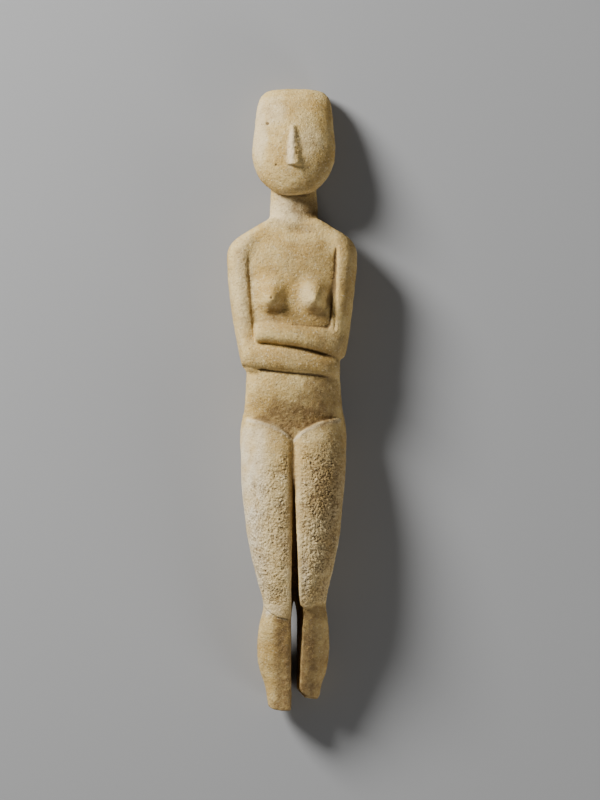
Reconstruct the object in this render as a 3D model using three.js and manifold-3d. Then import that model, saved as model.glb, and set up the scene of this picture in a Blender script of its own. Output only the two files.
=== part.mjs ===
// A folded-arm marble figurine of the Early Cycladic kind, carved in one piece, its feet lost at the shins.
// It lies on its back on the plane z = 0. +X is to the right of someone who looks down at its front,
// +Y runs from the feet to the crown and +Z is out of its front. All sizes are in millimetres.
import * as THREE from "three";
import { ConvexGeometry } from "three/addons/geometries/ConvexGeometry.js";
import { mergeVertices } from "three/addons/utils/BufferGeometryUtils.js";
import Module from "manifold-3d";

const { abs, cos, exp, hypot, max, min, PI, pow, sin } = Math;

// ---- Driving dimensions -------------------------------------------------------------------------
const LENGTH = 400; // from the crown to the break of the longer shin

// Heights along the body, counted from the middle of its length.
const CROWN = LENGTH / 2;
const TEMPLES = CROWN - 14;
const CHEEKS = CROWN - 39;
const CHIN = CROWN - 70.5;
const NECK_FOOT = CROWN - 87;
const ARMPITS = CROWN - 108;
const BREASTS = CROWN - 136;
const ELBOWS = CROWN - 180;
const WAIST = CROWN - 190;
const GROIN = CROWN - 225;
const SEAT = CROWN - 236;
const KNEES = CROWN - 331;
const CALVES = CROWN - 359;
const SHIN_END = CROWN - LENGTH;

// Half widths, side to side.
const HEAD = 26.6;
const NECK = 14.8;
const SHOULDERS = 41.7;
const HIPS = 33.3;

// ---- Distances and how they are joined ----------------------------------------------------------
// Each form is a function that is negative inside the stone, and close to the distance from its surface.
function joined(a, b, fillet) {
  const near = max(fillet - abs(a - b), 0) / fillet;
  return min(a, b) - (near * near * fillet) / 4;
}

function trimmed(a, b, edge) {
  return -joined(-a, -b, edge);
}

// A curve through stations of [position, value, value, ...].
function curve(stations) {
  const rising = stations.toSorted((a, b) => a[0] - b[0]);
  return new THREE.CubicInterpolant(
    rising.map((s) => s[0]),
    rising.flatMap((s) => s.slice(1)),
    rising[0].length - 1,
  );
}

// 0 before start, 1 after end, and a smooth step between; start may be the larger.
function blend(t, start, end) {
  const u = max(0, min(1, (t - start) / (end - start)));
  return u * u * (3 - 2 * u);
}

const END_ROUNDING = 3; // how softly each limb ends

// A limb with stations of [place along it, low side, high side, back, front], and a superellipse as its
// section. squareness(across, up) is the exponent: 2 is an ellipse, and more is boxier. The section is
// highest at the share called crest of the way from its low side to its high one.
function limb(stations, squareness, crest = 0.5) {
  const limits = curve(stations);
  const places = stations.map((s) => s[0]);
  const ends = [min(...places), max(...places)];
  return (along, across, up) => {
    const [low, high, back, front] = limits.evaluate(along);
    const u = across - low - crest * (high - low);
    const w = up - (back + front) / 2;
    const half = (high - low) * (u < 0 ? crest : 1 - crest);
    const n = squareness(u, w);
    const reach = pow(pow(abs(u / half), n) + pow(abs(w / (front - back)) * 2, n), 1 / n);
    const far = hypot(u, w);
    const side = reach < 1e-3 ? -min(high - low, front - back) / 2 : far - far / reach;
    return trimmed(side, max(ends[0] - along, along - ends[1]), END_ROUNDING);
  };
}

// A limb on the midline, with stations of [height, half width, back, front].
function middleLimb(stations, squareness) {
  return limb(
    stations.map(([at, half, back, front]) => [at, -half, half, back, front]),
    squareness,
  );
}

// ---- The figure's parts -------------------------------------------------------------------------
// The midline wanders a little, and the body's two sides are laid out from it.
const sway = curve([
  [CROWN, 1.4],
  [TEMPLES, 1.4],
  [CHEEKS, 0.8],
  [NECK_FOOT, 0.8],
  [ARMPITS, -0.1],
  [ELBOWS + 20, -0.2],
  [WAIST, 0.6],
  [SEAT - 54, 0.6],
  [KNEES + 14, 1.1],
  [KNEES, 1.4],
  [KNEES - 16, 0.8],
  [SHIN_END, 0.5],
]);

const headShape = middleLimb(
  [
    [CROWN + 4, 21.2, 1.2, 11],
    [CROWN - 3, 22.4, -0.6, 17],
    [CROWN - 8, 23.2, -1, 22],
    [TEMPLES, 24.3, -1, 26.2],
    [CROWN - 24, 25.3, 0, 30.6],
    [CHEEKS, HEAD, 2, 35],
    [CHEEKS - 8, 26.1, 3, 36.3],
    [CHIN + 19, 24.7, 3.8, 36.6],
    [CHIN + 13.5, 22.7, 5, 35.9],
    [CHIN + 8, 19.8, 7, 34.5],
    [CHIN + 2, 16.2, 9.5, 32.4],
    [CHIN - 3, 13.2, 11, 30.4],
  ],
  (u, w) => (w > 0 ? 2 : 2.2),
);

function head(x, y, z) {
  const crown = y - (CROWN - (x * x) / 140);
  const jaw = CHIN - 0.8 + (x * x) / 80 + (36 - z) * 0.16 - y;
  return trimmed(trimmed(headShape(y, x, z), crown, 8), jaw, 7);
}

const neck = middleLimb(
  [
    [CHIN + 16, 14.2, 3, 23],
    [CHIN, NECK, 3, 23.4],
    [NECK_FOOT + 7, NECK + 0.5, 3.4, 24],
    [NECK_FOOT, NECK + 0.5, 4, 25.6],
    [NECK_FOOT - 20, NECK, 6, 27],
    [NECK_FOOT - 40, NECK, 10, 24],
  ],
  () => 2,
);

const trunkShape = middleLimb(
  [
    [NECK_FOOT + 9, 39, 10, 25],
    [NECK_FOOT - 4, 38.6, 7, 29],
    [NECK_FOOT - 12, 38.4, 4.6, 32.2],
    [ARMPITS, 38.4, 1.8, 34.8],
    [BREASTS + 8, 37.4, -0.3, 36.6],
    [BREASTS - 14, 33.5, 0.6, 37.1],
    [ELBOWS + 12, 30, 2.6, 37],
    [WAIST + 8, 29.9, 2.8, 37.6],
    [WAIST - 3, 30.4, 2.8, 37.9],
    [WAIST - 11, 31, 2.4, 36],
    [WAIST - 18, 31.7, 1.8, 33.9],
    [GROIN + 12, 32.5, 1.2, 32.6],
    [GROIN + 7, 33.1, 0.8, 32],
    [GROIN - 2, HIPS, 2.5, 31.6],
    [GROIN - 18, 30, 11, 27],
  ],
  (u, w) => (w > 0 ? 2.25 : 2.8),
);

const leftArm = limb(
  [
    [NECK_FOOT + 8, -40, -21, 10, 27],
    [NECK_FOOT - 8, -41, -21.8, 7, 30.4],
    [ARMPITS + 2, -SHOULDERS, -22.8, 5, 33],
    [ARMPITS - 12, -41.2, -22.6, 3.6, 34.4],
    [BREASTS, -39.7, -21.4, 3.4, 35],
    [ELBOWS + 30, -37.7, -19.6, 3.8, 35.2],
    [ELBOWS + 18, -35.6, -18.6, 4.6, 35.2],
    [ELBOWS + 9, -33.4, -17.4, 5.4, 35],
    [ELBOWS - 1, -30, -17, 7.5, 33.6],
  ],
  (u, w) => (w > 0 ? 2.1 : 2.4),
);

const rightArm = limb(
  [
    [NECK_FOOT + 8, 22, 40, 10, 27],
    [NECK_FOOT - 8, 23.2, 41, 7, 30.4],
    [ARMPITS + 2, 24.6, SHOULDERS, 5, 33],
    [ARMPITS - 12, 24.6, 41.2, 3.6, 34.8],
    [BREASTS, 23.8, 39.7, 3.4, 35.4],
    [ELBOWS + 30, 22.6, 37.8, 3.8, 35],
    [ELBOWS + 18, 21.4, 35.4, 4.6, 34],
    [ELBOWS + 12, 20.6, 33.3, 5.4, 33],
    [ELBOWS + 5, 19, 30.2, 7.5, 31.5],
  ],
  (u, w) => (w > 0 ? 2.1 : 2.4),
);

// The right arm's forearm lies above the left arm's, and both are let into the belly.
const upperForearm = limb(
  [
    [-24.2, 36.2, 48.4, 26, 40],
    [-20, 36, 48.6, 26, 41.6],
    [-12, 35, 48.4, 26, 42.9],
    [0, 33.2, 47.8, 26, 43.3],
    [12, 30.8, 47, 25, 42.2],
    [22, 28.2, 45.8, 23, 39.6],
    [29, 26.8, 44.6, 18, 36.6],
    [33.3, 27.2, 43.5, 14, 32.5],
  ],
  () => 2.2,
);

const lowerForearm = limb(
  [
    [-31.8, 21, 38, 12, 33.6],
    [-27, 19.6, 37.6, 16, 37.4],
    [-16, 17.8, 36.4, 22, 41],
    [0, 16, 33.8, 24, 42.2],
    [12, 15, 31.2, 24, 41.2],
    [22, 14.2, 28.8, 23, 38.6],
    [30, 14.6, 28.2, 20, 34],
  ],
  () => 2.2,
);

// Each leg is highest about a third of the way out from the cleft.
const legShape = limb(
  [
    [GROIN + 17, -1.5, 30.6, 7.5, 34.5],
    [GROIN + 8, -1.5, 32.2, 3, 36.4],
    [SEAT + 4, -1.5, HIPS + 0.3, 0, 39.4],
    [SEAT - 8, -1.5, HIPS + 0.4, -0.3, 41.8],
    [SEAT - 22, -1.5, 32.8, 0.8, 43.9],
    [SEAT - 40, -1.5, 31, 3.2, 45.4],
    [SEAT - 54, -1.5, 29, 5.2, 46],
    [KNEES + 28, -1.5, 26.5, 7, 46.2],
    [KNEES + 15, -1.5, 23.5, 8.8, 45.4],
    [KNEES + 3, -1.5, 20.5, 9.8, 43],
    [KNEES - 3, -1.5, 20.2, 9.4, 41.2],
    [KNEES - 10, -1.5, 21.7, 8, 38.8],
    [KNEES - 18, -1.5, 22.8, 5.6, 36],
    [CALVES - 6, -1.5, 22.9, 1.6, 31.6],
    [CALVES - 16, -1.5, 21.2, -0.3, 29],
    [CALVES - 24, -1.5, 18.5, 0.2, 27.4],
    [SHIN_END + 8, -1.5, 16.8, 2, 25.6],
    [SHIN_END - 8, -1.5, 14, 5, 23],
  ],
  (u, w) => {
    if (u < 0) return 3;
    return w > 0 ? 2 : 2.4;
  },
  0.38,
);

// How far two cones, pointed below their middles, lift the chest.
function breasts(x, y) {
  let lift = 0;
  for (const [peak, leftReach, rightReach] of [
    [-13.7, 11.5, 11],
    [14.6, 12, 9],
  ]) {
    const across = (x - peak) / (x < peak ? leftReach : rightReach);
    const along = (y - BREASTS) / (y > BREASTS ? 19 : 12.5);
    const gap = min(1, hypot(across, along));
    lift += 0.65 * ((1 + cos(PI * gap)) / 2) + 0.35 * pow(1 - gap, 1.5);
  }
  return 8.8 * lift;
}

function groinHeight(side) {
  return GROIN + 15 * (1 - exp(-side / 14));
}

// How far a cut line takes the front surface down, at a distance off from its middle.
function incised(off, z, width, depth) {
  return z > 20 ? depth * exp(-((off / width) ** 2)) : 0;
}

// The lines cut beside the arms, as places across the body at heights, and those cut below the forearms,
// as heights at places across the body.
const besideLeftArm = curve([
  [ELBOWS + 15, -24],
  [BREASTS, -26.8],
  [ARMPITS + 2, -28.2],
]);
const besideRightArm = curve([
  [ELBOWS + 26, 27.2],
  [BREASTS, 27.6],
  [ARMPITS + 6, 28.1],
]);
const betweenForearms = curve([
  [-27, 36.6],
  [-19, 36],
  [7, 33],
  [23.5, 27.9],
  [31, 26],
]);
const belowForearms = curve([
  [-31, 20.9],
  [-16.5, 18.7],
  [1, 16.9],
  [12.6, 16],
  [24, 14.6],
  [30, 13.5],
]);

function cutLines(x, y, z) {
  const left = blend(y, ARMPITS + 3, ARMPITS - 4) * blend(y, ELBOWS + 12, ELBOWS + 17);
  const right = blend(y, ARMPITS + 9, ARMPITS + 2) * blend(y, ELBOWS + 23, ELBOWS + 27);
  const middle = blend(x, -24, -17) * blend(x, 34, 30);
  const below = blend(x, -36, -31) * blend(x, 28, 16);
  return (
    left * incised(x - besideLeftArm.evaluate(y)[0], z, 0.8, 0.7) +
    right * incised(x - besideRightArm.evaluate(y)[0], z, 0.9, 1.3) +
    middle * incised(y - betweenForearms.evaluate(x)[0], z, 1.5, 0.5) +
    below * incised(y - belowForearms.evaluate(x)[0], z, 1.3, 1)
  );
}

// The whole figure before its clefts are sawn and its shins are broken.
function figure(px, y, z) {
  const x = px - sway.evaluate(y)[0];
  const side = abs(x);
  const armpit = max(0, min(1, (y - ARMPITS + 2) / 14));
  const arm = x < 0 ? leftArm(y, x, z) : rightArm(y, x, z);
  const own = x < 0 ? lowerForearm(px, y, z) : upperForearm(px, y, z);
  const other = x < 0 ? upperForearm(px, y, z) : lowerForearm(px, y, z);
  const chest = trunkShape(y, x, z - breasts(px, y) * blend(z, 14, 26));
  let trunk = joined(chest, joined(arm, own, 5.5), 1 + 8 * armpit);
  trunk = trimmed(trunk, y - (NECK_FOOT + 3.6 - 0.6 * max(side - 15, 0)), 9);
  trunk = joined(trunk, other, 2.4);
  const legs = trimmed(legShape(y, hypot(x, 1.2), z), y - groinHeight(side), 1.8);
  const top = joined(joined(head(x, y, z), neck(y, x, z), 1.5), trunk, 3);
  const spine = z < 15 ? 0.9 * exp(-((x / 1.8) ** 2)) : 0;
  const seat = max(0, min(1, (20 - z) / 10));
  const whole = joined(top, legs, 1 + 6 * seat);
  const alongBack = max(0, min(1, (y - GROIN) / 20, (NECK_FOOT - y) / 15));
  return whole + spine * alongBack + cutLines(px, y, z);
}

// ---- The skin -----------------------------------------------------------------------------------
// Rays leave a flat core, and each vertex is where its ray leaves the figure. The core is a level
// segment at each height: [height, its z, its half length, the arm grooves' x to the left and right].
const core = curve([
  [CROWN, 8, 13, -10, 10],
  [TEMPLES, 12, 14, -11, 11],
  [CHEEKS, 19, 15, -11.5, 11.5],
  [CHIN + 12, 22, 10, -8, 8],
  [CHIN - 4, 21, 6, -4.5, 4.5],
  [NECK_FOOT + 6, 20.5, 6, -4.6, 4.6],
  [NECK_FOOT, 20, 9, -7, 7],
  [NECK_FOOT - 6, 19.5, 19, -16, 16],
  [NECK_FOOT - 13, 19, 28, -26.5, 26.5],
  [ARMPITS + 3, 18.5, 32.5, -28, 28.3],
  [BREASTS, 18.5, 31.5, -26.8, 28],
  [ELBOWS + 26, 19.5, 30, -24.8, 26.9],
  [ELBOWS + 9, 20, 26.5, -22, 24],
  [WAIST, 20.5, 20, -16, 16],
  [GROIN, 19, 19, -16, 16],
  [SEAT - 44, 24, 17, -14, 14],
  [KNEES, 26, 9, -7, 7],
  [CALVES, 19, 12, -9, 9],
  [SHIN_END - 8, 15, 8, -6, 6],
]);

// Rows of vertices: [rows down to this one, its height at each of ROW_PLACES]. The rows follow the chin,
// the forearms and the line of the groin.
const ROW_PLACES = [-30, -15, 0, 15, 30];
const rows = [
  [1, ...level(TEMPLES)],
  [7, ...level(CHEEKS)],
  [5, ...level(CHIN + 15)],
  [5, ...arch(CHIN + 0.8, 2.6, 5)],
  [1, ...arch(CHIN - 0.6, 1.6, 3)],
  [4, ...level(NECK_FOOT + 2)],
  [6, ...level(NECK_FOOT - 11)],
  [4, ...level(ARMPITS)],
  [4, ...level(BREASTS + 13)],
  [4, ...level(BREASTS + 1)],
  [5, ...level(BREASTS - 11.5)],
  [1, 49, 49.4, 48.8, 47.6, 45.6],
  [1, 48, 48.2, 47.5, 46.2, 43.9],
  [1, 46.6, 46.8, 46.1, 44.8, 42.5],
  [3, 39.8, 37.2, 35.7, 32.6, 28],
  [1, 38, 35.6, 34.1, 31.1, 26.4],
  [1, 36.6, 34.1, 32.6, 29.7, 25],
  [3, 22, 20, 18.3, 16.7, 15.9],
  [1, 20.4, 18.4, 16.8, 15.3, 14.4],
  [1, 19, 17, 15.6, 14.2, 13.2],
  [5, ...groinLine(6)],
  [2, ...groinLine(0.9)],
  [1, ...groinLine(-0.7)],
  [1, ...groinLine(-3)],
  [3, ...level(SEAT - 4)],
  [10, ...level(KNEES + 20)],
  [5, ...level(KNEES)],
  [4, ...level(KNEES - 14)],
  [6, ...level(SHIN_END + 20)],
  [4, ...level(SHIN_END - 8)],
];
const CROWN_ROWS = 4;
const FRONT = 17; // divisions over the front, of which 2 at each side are on the arms
const BACK = 9;
const FAN = 8; // divisions round each side
const SIDE_LEAN = 6; // how far out the rows are read where they turn round the sides

function level(y) {
  return [y, y, y, y, y];
}

function arch(y, half, all) {
  return [y + all, y + half, y, y + half, y + all];
}

function groinLine(above) {
  return ROW_PLACES.map((x) => groinHeight(abs(x)) + above);
}

// The rays of one row: where each leaves the core and which way it points.
function rays(segment, left, right) {
  const made = [];
  for (let i = 0; i < FAN; i += 1) {
    const turn = -PI / 2 + (PI * i) / FAN;
    made.push([segment, cos(turn), sin(turn)]);
  }
  const across = curve([
    [0, segment],
    [2, right],
    [FRONT / 2, (left + right) / 2],
    [FRONT - 2, left],
    [FRONT, -segment],
  ]);
  for (let i = 0; i < FRONT; i += 1) made.push([across.evaluate(i)[0], 0, 1]);
  for (let i = 0; i < FAN; i += 1) {
    const turn = PI / 2 + (PI * i) / FAN;
    made.push([-segment, cos(turn), sin(turn)]);
  }
  for (let i = 0; i < BACK; i += 1) made.push([segment * ((2 * i) / BACK - 1), 0, -1]);
  return made;
}

const REACH = 60; // farther than the surface is from the core
const STRIDE = 0.5; // how closely the way in is searched
const HALVINGS = 16;

function surfacePoint(origin, direction) {
  let outside = REACH;
  while (outside > 1 && figure(...origin.clone().addScaledVector(direction, outside)) > 0) {
    outside -= STRIDE;
  }
  let inside = outside;
  outside += STRIDE;
  for (let step = 0; step < HALVINGS; step += 1) {
    const middle = (inside + outside) / 2;
    if (figure(...origin.clone().addScaledVector(direction, middle)) > 0) outside = middle;
    else inside = middle;
  }
  return origin.clone().addScaledVector(direction, inside);
}

function skin() {
  const heights = [];
  for (const [k, [count, ...ends]] of rows.entries()) {
    const starts = k ? rows[k - 1].slice(1) : ends;
    for (let i = 1; i <= count; i += 1) {
      heights.push(ends.map((end, n) => starts[n] + ((end - starts[n]) * i) / count));
    }
  }
  const points = [];
  const ring = (row, rise) => {
    const at = curve(row.map((y, n) => [ROW_PLACES[n], y]));
    const shrink = 1 - (0.85 * rise) / (PI / 2); // the core is shorter under the crown
    const [, segment, left, right] = core.evaluate(row[2]);
    for (const [across, dx, dz] of rays(segment, left, right)) {
      const x = sway.evaluate(row[2])[0] + across * shrink;
      const y = at.evaluate(x + SIDE_LEAN * dx)[0];
      const origin = new THREE.Vector3(x, y, core.evaluate(y)[0]);
      points.push(surfacePoint(origin, new THREE.Vector3(dx * cos(rise), sin(rise), dz * cos(rise))));
    }
  };
  for (let i = CROWN_ROWS; i > 0; i -= 1) ring(level(TEMPLES), (i / (CROWN_ROWS + 0.6)) * (PI / 2));
  for (const row of heights) ring(row, 0);

  const around = FRONT + BACK + 2 * FAN;
  const ringCount = points.length / around;
  const [topZ] = core.evaluate(TEMPLES);
  const top = new THREE.Vector3(sway.evaluate(TEMPLES)[0], TEMPLES, topZ);
  points.push(surfacePoint(top, new THREE.Vector3(0, 1, 0)));
  points.push(new THREE.Vector3(0.8, SHIN_END - 8, core.evaluate(SHIN_END - 8)[0]));

  const triangles = [];
  const at = (i, j) => i * around + (j % around);
  for (let j = 0; j < around; j += 1) {
    triangles.push(points.length - 2, at(0, j + 1), at(0, j));
    triangles.push(points.length - 1, at(ringCount - 1, j), at(ringCount - 1, j + 1));
    for (let i = 0; i + 1 < ringCount; i += 1) {
      const [a, b, c, d] = [at(i, j), at(i, j + 1), at(i + 1, j + 1), at(i + 1, j)];
      if (points[a].distanceTo(points[c]) < points[b].distanceTo(points[d])) {
        triangles.push(a, b, c, a, c, d);
      } else {
        triangles.push(a, b, d, b, c, d);
      }
    }
  }
  return new THREE.BufferGeometry().setFromPoints(points).setIndex(triangles);
}

// ---- Cutting ------------------------------------------------------------------------------------
const wasm = await Module();
wasm.setup();

function solid(geometry) {
  const bare = geometry.clone();
  bare.deleteAttribute("normal");
  bare.deleteAttribute("uv");
  const merged = mergeVertices(bare, 1e-4);
  return new wasm.Manifold(
    new wasm.Mesh({
      numProp: 3,
      vertProperties: merged.attributes.position.array,
      triVerts: new Uint32Array(merged.index.array),
    }),
  );
}

// The hull of sections given as [height, low x, high x, z] edges.
function hull(edges) {
  return solid(
    new ConvexGeometry(
      edges.flatMap(([y, low, high, z]) => [
        new THREE.Vector3(low, y, z),
        new THREE.Vector3(high, y, z),
      ]),
    ),
  );
}

const ABOVE = 60;
const BELOW = -15;
const PAST = SHIN_END - 20;

const frontCleft = hull([
  [GROIN - 2, 0, 1.7, ABOVE],
  [GROIN - 2, 0.6, 0.9, 38.5],
  [KNEES, -2.3, 8, ABOVE],
  [KNEES, -0.6, 2.9, 25],
  [PAST, -2.3, 8.6, ABOVE],
  [PAST, -0.8, 3, 12],
]);
const backCleft = hull([
  [GROIN + 1, 0.2, 1.2, BELOW],
  [GROIN + 1, 0.6, 0.8, 3],
  [KNEES, -1, 3.4, BELOW],
  [KNEES, -0.6, 2.9, 15],
  [PAST, -1, 3.4, BELOW],
  [PAST, -0.8, 3, 15],
]);
const slot = hull([
  [KNEES + 1.2, 0.8, 1.2, ABOVE],
  [KNEES + 1.2, 0.8, 1.2, BELOW],
  [KNEES - 11, -0.8, 3, ABOVE],
  [KNEES - 11, -0.8, 3, BELOW],
  [PAST, -0.8, 3, ABOVE],
  [PAST, -0.8, 3, BELOW],
]);

const nose = hull([
  [CHIN + 46.5, -1.4, 3, 28],
  [CHIN + 46.5, -0.6, 1.5, 31.2],
  [CHIN + 34, -3.6, 5.4, 33],
  [CHIN + 34, -0.9, 2.4, 37.9],
  [CHIN + 20.6, -4.6, 8, 34],
  [CHIN + 20.8, -1.6, 3, 40.4],
]);

function halfSpace(point, normal) {
  const far = 500;
  const box = new THREE.Mesh(new THREE.BoxGeometry(far, far, far).translate(0, -far / 2, 0));
  box.quaternion.setFromUnitVectors(new THREE.Vector3(0, 1, 0), normal.clone().normalize());
  box.position.copy(point);
  box.updateMatrix();
  return solid(box.geometry.applyMatrix4(box.matrix));
}

const leftShinBreak = halfSpace(
  new THREE.Vector3(-6, SHIN_END + 0.6, 18),
  new THREE.Vector3(0.16, 1, 0.08),
);

// What is missing of the right shin, below a line from one point to another: the break runs slantwise.
function missing([x1, y1], [x2, y2]) {
  const outline = [
    [x1, y1],
    [x2, y2],
    [x2, PAST],
    [x1, PAST],
  ];
  return solid(
    new ConvexGeometry(
      outline.flatMap(([x, y]) => [
        new THREE.Vector3(x, y - 1.2, BELOW),
        new THREE.Vector3(x, y + 1.6, ABOVE),
      ]),
    ),
  );
}

const rightShinBreaks = [
  missing([1, SHIN_END + 17.6], [8, SHIN_END + 9.4]),
  missing([7.5, SHIN_END + 9.5], [16.5, SHIN_END + 8]),
  missing([16, SHIN_END + 7.6], [26, SHIN_END + 21]),
];

const table = halfSpace(new THREE.Vector3(0, 0, 0), new THREE.Vector3(0, 0, 1));

const cutters = [frontCleft, backCleft, slot, leftShinBreak, ...rightShinBreaks, table];
const stone = cutters.reduce((left, cutter) => left.subtract(cutter), solid(skin()).add(nose));

function geometryOf(manifold) {
  const mesh = manifold.getMesh();
  const geometry = new THREE.BufferGeometry();
  geometry.setAttribute("position", new THREE.BufferAttribute(new Float32Array(mesh.vertProperties), 3));
  geometry.setIndex(new THREE.BufferAttribute(new Uint32Array(mesh.triVerts), 1));
  return geometry;
}

const marble = new THREE.MeshStandardMaterial({ color: 0xcdb68c, roughness: 0.62, metalness: 0 });
const figurine = new THREE.Mesh(geometryOf(stone), marble);
figurine.name = "figurine";

const part = new THREE.Group();
part.add(figurine);
export default part;
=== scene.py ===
"""A folded-arm marble figurine of the Early Cycladic kind, lying on its back.

The solid is replaced by one fine mesh of the same form. The form is a distance-like function of
position, in millimetres, that is negative inside the stone. It is meshed on a regular grid, then
weathered, thinned to its triangle budget and coloured by procedural nodes.
"""
import math

import bpy
import numpy as np
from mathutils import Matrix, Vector


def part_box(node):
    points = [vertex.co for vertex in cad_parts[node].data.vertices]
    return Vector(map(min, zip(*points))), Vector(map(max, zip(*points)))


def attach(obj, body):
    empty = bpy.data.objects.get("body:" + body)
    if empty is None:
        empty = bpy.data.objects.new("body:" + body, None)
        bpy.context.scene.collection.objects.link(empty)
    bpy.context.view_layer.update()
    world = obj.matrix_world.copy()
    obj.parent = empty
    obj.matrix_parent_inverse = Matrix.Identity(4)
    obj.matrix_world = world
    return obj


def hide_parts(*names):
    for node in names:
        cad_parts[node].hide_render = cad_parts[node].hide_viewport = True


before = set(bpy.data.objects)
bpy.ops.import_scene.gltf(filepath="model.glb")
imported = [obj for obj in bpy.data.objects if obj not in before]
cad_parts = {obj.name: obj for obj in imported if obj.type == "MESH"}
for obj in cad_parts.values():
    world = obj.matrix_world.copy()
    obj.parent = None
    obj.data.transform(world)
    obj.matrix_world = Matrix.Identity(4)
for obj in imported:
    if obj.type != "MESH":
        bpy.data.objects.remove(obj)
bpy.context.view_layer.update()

MM = 0.001

# ---- Driving dimensions, in millimetres ---------------------------------------------------------
lowest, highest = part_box("figurine")
LENGTH = round((highest[1] - lowest[1]) / MM)  # from the crown to the break of the longer shin

# Heights along the body, counted from the middle of its length.
CROWN = LENGTH / 2
TEMPLES = CROWN - 14
CHEEKS = CROWN - 39
CHIN = CROWN - 70.5
NECK_FOOT = CROWN - 87
ARMPITS = CROWN - 108
BREASTS = CROWN - 136
ELBOWS = CROWN - 180
WAIST = CROWN - 190
GROIN = CROWN - 225
SEAT = CROWN - 236
KNEES = CROWN - 331
CALVES = CROWN - 359
SHIN_END = CROWN - LENGTH

# Half widths, side to side.
HEAD = 26.6
NECK = 14.8
SHOULDERS = 41.7
HIPS = 33.3

END_ROUNDING = 3  # how softly each limb ends
FAR = 14  # farther than this past its end, a limb's section no longer matters
GRID = 0.56  # pitch of the grid that the form is meshed on
TRIANGLES = 196000  # most triangles that the finished mesh keeps


# ---- Distances and how they are joined ----------------------------------------------------------
def joined(a, b, fillet):
    """What is in either form, with the valley between them filled."""
    near = np.maximum(fillet - np.abs(a - b), 0) / fillet
    return np.minimum(a, b) - near * near * fillet / 4


def trimmed(a, b, edge):
    """What is in both forms, with the edge between them rounded."""
    return -joined(-a, -b, edge)


def blend(t, start, end):
    """0 before start, 1 after end, and a smooth step between; start may be the larger."""
    u = np.clip((t - start) / (end - start), 0, 1)
    return u * u * (3 - 2 * u)


def curve(stations):
    """A cubic curve through [position, value, value, ...], level beyond its ends."""
    rising = np.array(sorted(stations), dtype=float)
    at, values = rising[:, 0], rising[:, 1:]
    secants = np.diff(values, axis=0) / np.diff(at)[:, None]
    slopes = np.vstack([secants[:1], (secants[:-1] + secants[1:]) / 2, secants[-1:]])

    def read(t):
        t = np.clip(t, at[0], at[-1])
        i = np.clip(np.searchsorted(at, t, side="right") - 1, 0, len(at) - 2)
        step = at[i + 1] - at[i]
        p = (t - at[i]) / step
        read_values = []
        for k in range(values.shape[1]):
            v0, v1 = values[i, k], values[i + 1, k]
            m0, m1 = slopes[i, k] * step, slopes[i + 1, k] * step
            bend = (2 * v0 - 2 * v1 + m0 + m1) * p + (3 * v1 - 3 * v0 - 2 * m0 - m1)
            read_values.append((bend * p + m0) * p + v0)
        return read_values

    return read


def limb(stations, squareness, crest=0.5):
    """Stations of [place along it, low side, high side, back, front], a superellipse in section.

    The section is highest at the given share of the way from the low side to the high one.
    """
    limits = curve(stations)
    first = min(s[0] for s in stations)
    last = max(s[0] for s in stations)

    def distance(along, across, up):
        beyond = np.maximum(first - along, along - last)
        if np.min(beyond) > FAR:
            return beyond + 0 * (across + up)
        low, high, back, front = limits(along)
        u = across - low - crest * (high - low)
        w = up - (back + front) / 2
        half = (high - low) * np.where(u < 0, crest, 1 - crest)
        power = squareness(u, w)
        reach = (np.abs(u / half) ** power + np.abs(w / (front - back) * 2) ** power) ** (1 / power)
        far = np.hypot(u, w) + 1e-6
        return trimmed(far - far / (reach + 1e-9), beyond, END_ROUNDING)

    return distance


def middle_limb(stations, squareness):
    return limb([[at, -half, half, back, front] for at, half, back, front in stations], squareness)


def rounder(front, back):
    """The exponent of a section that differs between its front and its back."""
    return lambda u, w: np.where(w > 0, front, back)


# ---- The figure's parts -------------------------------------------------------------------------
# How far the midline lies to the side of the body's own axis at each height.
sway = curve(
    [
        [CROWN, 1.4],
        [TEMPLES, 1.4],
        [CHEEKS, 0.8],
        [NECK_FOOT, 0.8],
        [ARMPITS, -0.1],
        [ELBOWS + 20, -0.2],
        [WAIST, 0.6],
        [SEAT - 54, 0.6],
        [KNEES + 14, 1.1],
        [KNEES, 1.4],
        [KNEES - 16, 0.8],
        [SHIN_END, 0.5],
    ]
)

head_shape = middle_limb(
    [
        [CROWN + 4, 21.2, 1.2, 11],
        [CROWN - 3, 22.4, -0.6, 17],
        [CROWN - 8, 23.2, -1, 22],
        [TEMPLES, 24.3, -1, 26.2],
        [CROWN - 24, 25.3, 0, 30.6],
        [CHEEKS, HEAD, 2, 35],
        [CHEEKS - 8, 26.1, 3, 36.3],
        [CHIN + 19, 24.7, 3.8, 36.6],
        [CHIN + 13.5, 22.7, 5, 35.9],
        [CHIN + 8, 19.8, 7, 34.5],
        [CHIN + 2, 16.2, 9.5, 32.4],
        [CHIN - 3, 13.2, 11, 30.4],
    ],
    rounder(2.0, 2.2),
)

neck_shape = middle_limb(
    [
        [CHIN + 16, 14.2, 3, 23],
        [CHIN, NECK, 3, 23.4],
        [NECK_FOOT + 7, NECK + 0.5, 3.4, 24],
        [NECK_FOOT, NECK + 0.5, 4, 25.6],
        [NECK_FOOT - 20, NECK, 6, 27],
        [NECK_FOOT - 40, NECK, 10, 24],
    ],
    rounder(2.0, 2.0),
)

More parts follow.
